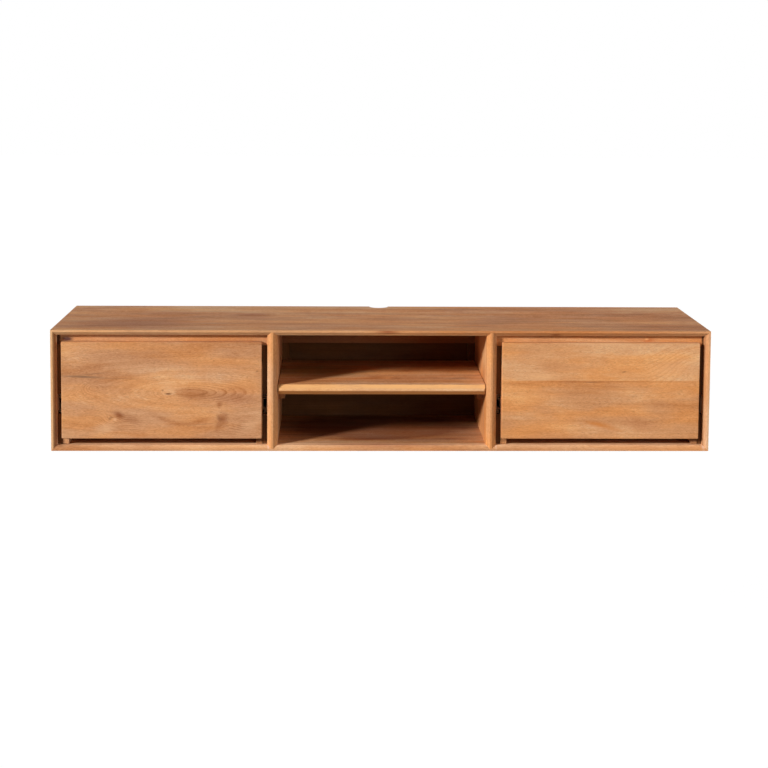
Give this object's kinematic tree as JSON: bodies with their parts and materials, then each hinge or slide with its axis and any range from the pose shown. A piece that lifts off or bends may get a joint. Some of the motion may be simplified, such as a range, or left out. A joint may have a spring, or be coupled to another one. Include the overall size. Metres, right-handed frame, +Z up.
{
  "type": "floating media console",
  "caption": "Wall-hung wooden media console: mitred case with a deep bevelled frame, an open compartment with a shelf between two drawers on ball-bearing runners, and a rear cable notch.",
  "frame": {"origin": "on the wall plane, at the middle of the wall-fixing hole patterns, half-way along and half-way up the case", "axes": "+X along the console to the right seen from the front, +Y into the wall, +Z up; the front faces -Y"},
  "size_m": [1.64, 0.4, 0.303],
  "materials": {
    "case_wood": "clear matt lacquer on light honey-coloured solid wood",
    "front_wood": "clear matt lacquer, figured boards",
    "inner_wood": "planed solid wood, thin lacquer",
    "box_wood": "planed solid wood, thin lacquer",
    "plywood": "sanded plywood",
    "dowel_wood": "fluted hardwood, unfinished",
    "runner_steel": "dark bronze chromate over zinc plate",
    "cage_steel": "dark bronze chromate over zinc plate, with a film of grease",
    "ball_steel": "polished bearing steel",
    "screw_steel": "yellow zinc plate",
    "bumper_rubber": "soft translucent polyurethane"
  },
  "bodies": {
    "case": {"back_panel_left": "plywood", "back_panel_middle": "plywood", "back_panel_right": "plywood", "bottom_panel": "case_wood", "case_dowels": "dowel_wood", "case_screws": "screw_steel", "corner_battens_left": "inner_wood", "corner_battens_middle": "inner_wood", "corner_battens_right": "inner_wood", "divider_left": "case_wood", "divider_right": "case_wood", "front_rail_left": "inner_wood", "front_rail_right": "inner_wood", "hanging_rail_left": "inner_wood", "hanging_rail_middle": "inner_wood", "hanging_rail_right": "inner_wood", "left_case_channels": "runner_steel", "lower_rail_left": "inner_wood", "lower_rail_middle": "inner_wood", "lower_rail_right": "inner_wood", "lower_wall_battens": "inner_wood", "middle_wall_battens": "inner_wood", "mitre_splines": "plywood", "right_case_channels": "runner_steel", "shelf": "case_wood", "shelf_cleats": "inner_wood", "side_panel_left": "case_wood", "side_panel_right": "case_wood", "slot_battens": "inner_wood", "top_panel": "case_wood", "wall_batten_left": "inner_wood", "wall_batten_right": "inner_wood"},
    "left_drawer": {"left_drawer_back": "box_wood", "left_drawer_bottom": "plywood", "left_drawer_bumpers": "bumper_rubber", "left_drawer_channels": "runner_steel", "left_drawer_dowels": "dowel_wood", "left_drawer_front": "front_wood", "left_drawer_screws": "screw_steel", "left_drawer_side_left": "box_wood", "left_drawer_side_right": "box_wood"},
    "left_inner_cage": {"left_inner_balls": "ball_steel", "left_inner_cages": "cage_steel"},
    "left_runner": {"left_middle_channels": "runner_steel"},
    "left_outer_cage": {"left_outer_balls": "ball_steel", "left_outer_cages": "cage_steel"},
    "right_drawer": {"right_drawer_back": "box_wood", "right_drawer_bottom": "plywood", "right_drawer_bumpers": "bumper_rubber", "right_drawer_channels": "runner_steel", "right_drawer_dowels": "dowel_wood", "right_drawer_front": "front_wood", "right_drawer_screws": "screw_steel", "right_drawer_side_left": "box_wood", "right_drawer_side_right": "box_wood"},
    "right_inner_cage": {"right_inner_balls": "ball_steel", "right_inner_cages": "cage_steel"},
    "right_runner": {"right_middle_channels": "runner_steel"},
    "right_outer_cage": {"right_outer_balls": "ball_steel", "right_outer_cages": "cage_steel"}
  },
  "joints": [
    {"name": "left_drawer_slide", "type": "slide", "parent": "case", "child": "left_drawer", "axis": [0, -1, 0], "range_m": [0, 0.3]},
    {"name": "left_runner_slide", "type": "slide", "parent": "case", "child": "left_runner", "axis": [0, -1, 0], "range_m": [0, 0.15]},
    {"name": "left_outer_cage_slide", "type": "slide", "parent": "case", "child": "left_outer_cage", "axis": [0, -1, 0], "range_m": [0, 0.075]},
    {"name": "left_inner_cage_slide", "type": "slide", "parent": "case", "child": "left_inner_cage", "axis": [0, -1, 0], "range_m": [0, 0.225]},
    {"name": "right_drawer_slide", "type": "slide", "parent": "case", "child": "right_drawer", "axis": [0, -1, 0], "range_m": [0, 0.3]},
    {"name": "right_runner_slide", "type": "slide", "parent": "case", "child": "right_runner", "axis": [0, -1, 0], "range_m": [0, 0.15]},
    {"name": "right_outer_cage_slide", "type": "slide", "parent": "case", "child": "right_outer_cage", "axis": [0, -1, 0], "range_m": [0, 0.075]},
    {"name": "right_inner_cage_slide", "type": "slide", "parent": "case", "child": "right_inner_cage", "axis": [0, -1, 0], "range_m": [0, 0.225]}
  ],
  "couplings": [
    {"joint": "left_runner_slide", "follows": "left_drawer_slide", "ratio": 0.5},
    {"joint": "left_outer_cage_slide", "follows": "left_drawer_slide", "ratio": 0.25},
    {"joint": "left_inner_cage_slide", "follows": "left_drawer_slide", "ratio": 0.75},
    {"joint": "right_runner_slide", "follows": "right_drawer_slide", "ratio": 0.5},
    {"joint": "right_outer_cage_slide", "follows": "right_drawer_slide", "ratio": 0.25},
    {"joint": "right_inner_cage_slide", "follows": "right_drawer_slide", "ratio": 0.75}
  ]
}
